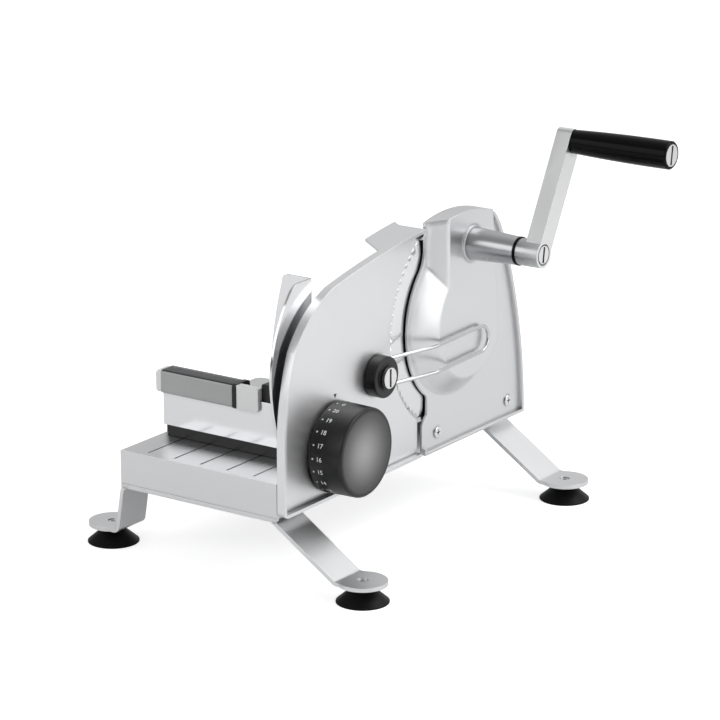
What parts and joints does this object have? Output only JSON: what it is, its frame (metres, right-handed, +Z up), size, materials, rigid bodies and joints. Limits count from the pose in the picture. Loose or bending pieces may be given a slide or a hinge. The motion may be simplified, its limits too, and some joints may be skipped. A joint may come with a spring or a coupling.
{
  "type": "manual food slicer",
  "caption": "Hand cranked food slicer with geared round blade, dial set stop plate, sliding carriage with food holder, wire slice deflector and suction cup feet.",
  "frame": {"origin": "middle of the bounding box in plan, on the worktop", "axes": "+X from the platform to the crank side, along the blade axis; +Y away from the operator, the way the carriage is pushed; +Z up"},
  "size_m": [0.3552, 0.3284, 0.3079],
  "materials": {
    "satin_aluminium": "satin anodised sheet",
    "arm_aluminium": "fine brushed bar",
    "blade_steel": "ground in circles",
    "screw_steel": "bright turned",
    "wire_steel": "polished wire",
    "plain_steel": "zinc plated",
    "bush_brass": "turned",
    "black_rubber": "dull",
    "black_plastic": "fine satin",
    "grip_plastic": "polished",
    "cam_plastic": "moulded",
    "smoked_plastic": "clear, smoked",
    "core_plastic": "moulded",
    "cap_plastic": "moulded"
  },
  "bodies": {
    "base": {"base_platform": "satin_aluminium", "front_leg_bar": "satin_aluminium", "rear_leg_bar": "satin_aluminium", "bar_screws": "plain_steel", "foot_screws": "screw_steel", "front_left_suction_cup": "black_rubber", "front_right_suction_cup": "black_rubber", "rear_left_suction_cup": "black_rubber", "rear_right_suction_cup": "black_rubber", "gear_cover": "satin_aluminium", "cover_screws": "screw_steel", "bearing_plate": "plain_steel", "bearing_plate_screws": "plain_steel", "blade_bush": "bush_brass", "crank_end_bush": "bush_brass", "inner_crank_bush": "bush_brass", "outer_crank_bush": "bush_brass", "idler_pin": "plain_steel", "idler_washer": "bush_brass", "cam_follower": "plain_steel", "guide_bracket": "plain_steel", "guide_bushes": "bush_brass"},
    "stop": {"stop_plate": "satin_aluminium", "guide_pins": "plain_steel", "spring_collars": "plain_steel", "return_springs": "wire_steel", "dial_spindle": "plain_steel", "dial_screw": "screw_steel", "dial_clip": "plain_steel", "deflector_screw": "screw_steel"},
    "dial": {"dial_cam": "cam_plastic", "dial_knob": "black_plastic"},
    "deflector": {"deflector_hub": "black_plastic", "deflector_wire": "wire_steel"},
    "crank": {"crank_shaft": "plain_steel", "crank_gear": "plain_steel", "crank_washer": "black_plastic", "crank_arm": "arm_aluminium", "crank_screw": "screw_steel", "grip_screw": "screw_steel"},
    "grip": {"grip_handle": "grip_plastic"},
    "idler": {"idler_gear": "cam_plastic"},
    "blade": {"blade_gear": "plain_steel", "slicing_blade": "blade_steel", "blade_lock_screw": "black_plastic"},
    "carriage": {"carriage_wall": "satin_aluminium", "carriage_floor": "satin_aluminium", "front_glide": "black_plastic", "rear_glide": "black_plastic", "carriage_hook": "black_plastic"},
    "holder": {"holder_sleeve": "smoked_plastic", "holder_core": "core_plastic", "holder_end_cap": "cap_plastic", "holder_ring": "black_plastic", "holder_block": "cap_plastic", "holder_rod": "plain_steel", "remainder_plate": "black_plastic", "plate_spikes": "screw_steel"}
  },
  "joints": [
    {"name": "stop_slide", "type": "slide", "parent": "base", "child": "stop", "axis": [1, 0, 0], "range_m": [0, 0.02], "deforming": ["return_springs"]},
    {"name": "dial_turn", "type": "hinge", "parent": "stop", "child": "dial", "pos_m": [0.0306, -0.0948, 0.0942], "axis": [1, 0, 0], "range_deg": [0, 342.86]},
    {"name": "deflector_turn", "type": "hinge", "parent": "stop", "child": "deflector", "pos_m": [0.0176, -0.0392, 0.135], "axis": [1, 0, 0], "range_deg": [-60, 20]},
    {"name": "crank_turn", "type": "hinge", "parent": "base", "child": "crank", "pos_m": [0.0506, 0.0678, 0.2173], "axis": [1, 0, 0], "continuous": true},
    {"name": "grip_turn", "type": "hinge", "parent": "crank", "child": "grip", "pos_m": [0.1306, 0.11075, 0.29707], "axis": [1, 0, 0], "continuous": true},
    {"name": "idler_turn", "type": "hinge", "parent": "base", "child": "idler", "pos_m": [0.0206, 0.0678, 0.1818], "axis": [1, 0, 0], "continuous": true},
    {"name": "blade_turn", "type": "hinge", "parent": "base", "child": "blade", "pos_m": [0.0156, 0.0678, 0.1563], "axis": [1, 0, 0], "continuous": true},
    {"name": "carriage_slide", "type": "slide", "parent": "base", "child": "carriage", "axis": [0, 1, 0], "range_m": [0, 0.15]},
    {"name": "holder_slide", "type": "slide", "parent": "carriage", "child": "holder", "axis": [1, 0, 0], "range_m": [-0.06, 0.008]}
  ],
  "couplings": [
    {"joint": "dial_turn", "follows": "stop_slide", "rad_per_m": 299.2},
    {"joint": "idler_turn", "follows": "crank_turn", "ratio": -1.6296},
    {"joint": "blade_turn", "follows": "crank_turn", "ratio": 1.8333}
  ]
}
